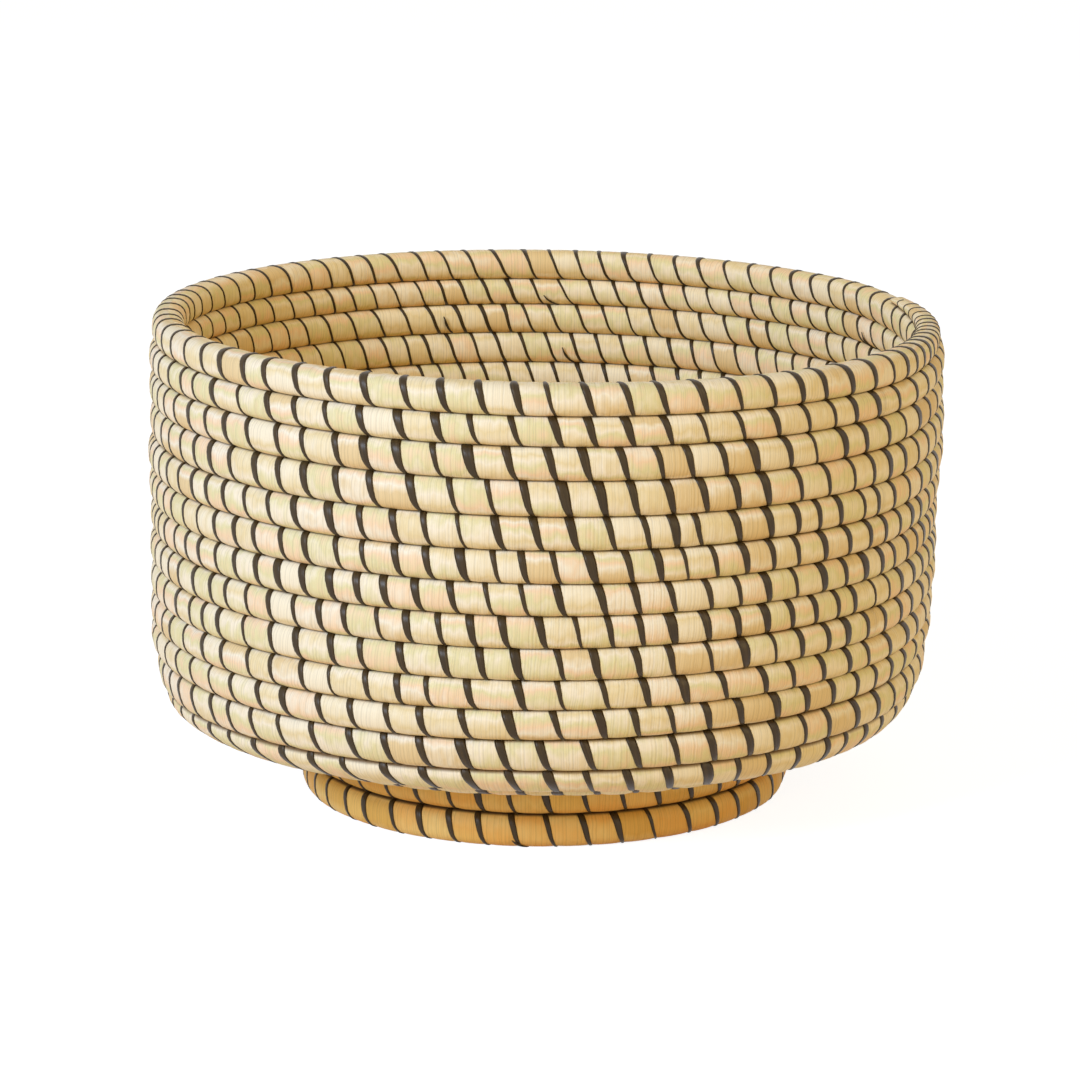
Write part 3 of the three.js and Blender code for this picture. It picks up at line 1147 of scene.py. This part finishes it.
# %% Spin the knot
KNOT_STEPS = 96
KNOT_RINGS = 12
KNOT_STRANDS = 16
KNOT_BLUNTNESS = 0.7
KNOT_HEIGHT_SHARE = 0.46
KNOT_GROOVE = 0.6 * MM
KNOT_GROOVE_FADE = 2
KNOT_DIMPLE = 1.2 * MM
KNOT_DIMPLE_REACH = 0.3
knot_low, knot_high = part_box("centre_knot")
knot_centre = [(low + high) / 2 for low, high in zip(knot_low, knot_high)]
KNOT_RADIUS = 0.5 * (knot_high[0] - knot_low[0])
KNOT_HALF_HEIGHT = KNOT_HEIGHT_SHARE * (knot_high[2] - knot_low[2])


def sort_faces(bm):
    """Puts the faces in the order of their corners, because a spin leaves them in any order."""
    bm.verts.index_update()
    count = len(bm.verts)

    def corner_number(face):
        first, second, third = sorted(vertex.index for vertex in face.verts)[:3]
        return (first * count + second) * count + third

    bm.faces.sort(key=corner_number)


def spin_knot():
    """A blunt dome, spun from its outline, dimpled in the middle and grooved by its strands."""
    bm = bmesh.new()
    outline = []
    for step in range(KNOT_RINGS + 1):
        angle = math.pi / 2 - math.pi * step / KNOT_RINGS
        r = KNOT_RADIUS * max(0.0, math.cos(angle)) ** KNOT_BLUNTNESS
        nearness = math.exp(-((r / (KNOT_DIMPLE_REACH * KNOT_RADIUS)) ** 2))
        dimple = KNOT_DIMPLE * nearness * math.sin(angle)
        outline.append(bm.verts.new((r, 0, KNOT_HALF_HEIGHT * math.sin(angle) - dimple)))
    for above, below in zip(outline, outline[1:]):
        bm.edges.new((above, below))
    bmesh.ops.spin(
        bm, geom=bm.verts[:] + bm.edges[:], cent=(0, 0, 0), axis=(0, 0, 1), dvec=(0, 0, 0),
        angle=2 * math.pi, steps=KNOT_STEPS, use_merge=True, use_duplicate=False,
    )
    bmesh.ops.remove_doubles(bm, verts=bm.verts, dist=WELD_DISTANCE)
    bmesh.ops.recalc_face_normals(bm, faces=bm.faces)
    sort_faces(bm)
    for vertex in bm.verts:
        r = math.hypot(vertex.co.x, vertex.co.y)
        strand = abs(math.sin(KNOT_STRANDS / 2 * math.atan2(vertex.co.y, vertex.co.x)))
        groove = KNOT_GROOVE * (1 - strand) ** 2 * min(1.0, KNOT_GROOVE_FADE * r / KNOT_RADIUS)
        vertex.co.x += knot_centre[0]
        vertex.co.y += knot_centre[1]
        vertex.co.z += knot_centre[2] - groove * math.copysign(1, vertex.co.z)
    for face in bm.faces:
        face.smooth = True
    mesh = bpy.data.meshes.new("centre_start_knot")
    bm.to_mesh(mesh)
    bm.free()
    print(f"centre_start_knot: {len(mesh.polygons)} faces")
    return new_object("centre_start_knot", mesh)


# %% The knot's finish
KNOT_TINT_WAVES = 9.0
KNOT_GROOVE_WIDTH = 0.35
KNOT_GROOVE_SHADE = 0.75
KNOT_ROUGHNESS = 0.6
KNOT_GLOSS = 0.5
KNOT_BUMP = 1.0


def radial_raffia():
    """Raffia wrapped out from the knot's middle, in Object coordinates."""
    material = bpy.data.materials.new("knotted raffia")
    add, link = shader_tree(material)
    coordinates = add("ShaderNodeTexCoord")
    centred = add("ShaderNodeMapping")
    centred.inputs["Location"].default_value = (-knot_centre[0], -knot_centre[1], 0)
    link(coordinates.outputs["Object"], centred.inputs["Vector"])
    parts = add("ShaderNodeSeparateXYZ")
    link(centred.outputs[0], parts.inputs[0])
    angle = maths(add, link, "ARCTAN2", parts.outputs["Y"], parts.outputs["X"])
    strand = line_noise(add, link, angle, KNOT_TINT_WAVES)
    tint = ramp(add, link, strand, RAFFIA_TINTS)
    # Painted warm shade, as on the inside of the bowl
    warm = mixed(add, link, 1.0, tint, INSIDE_WARM_SHADE_COLOUR, "MULTIPLY")

    # The same waves as in the mesh, so the painted shade lies in its grooves
    waves = maths(add, link, "SINE", maths(add, link, "MULTIPLY", angle, KNOT_STRANDS / 2))
    from_groove = maths(add, link, "ABSOLUTE", waves)
    groove = ranged(add, link, from_groove, (0.0, KNOT_GROOVE_WIDTH), (KNOT_GROOVE_SHADE, 0.0))
    shaded = mixed(add, link, groove, warm, SEAM_SHADE_COLOUR)
    add_surface(add, link, shaded, KNOT_ROUGHNESS, KNOT_GLOSS, strand, KNOT_BUMP, STRAND_DEPTH)
    return material


finish(spin_knot(), radial_raffia(), "natural_raffia", "centre_knot")
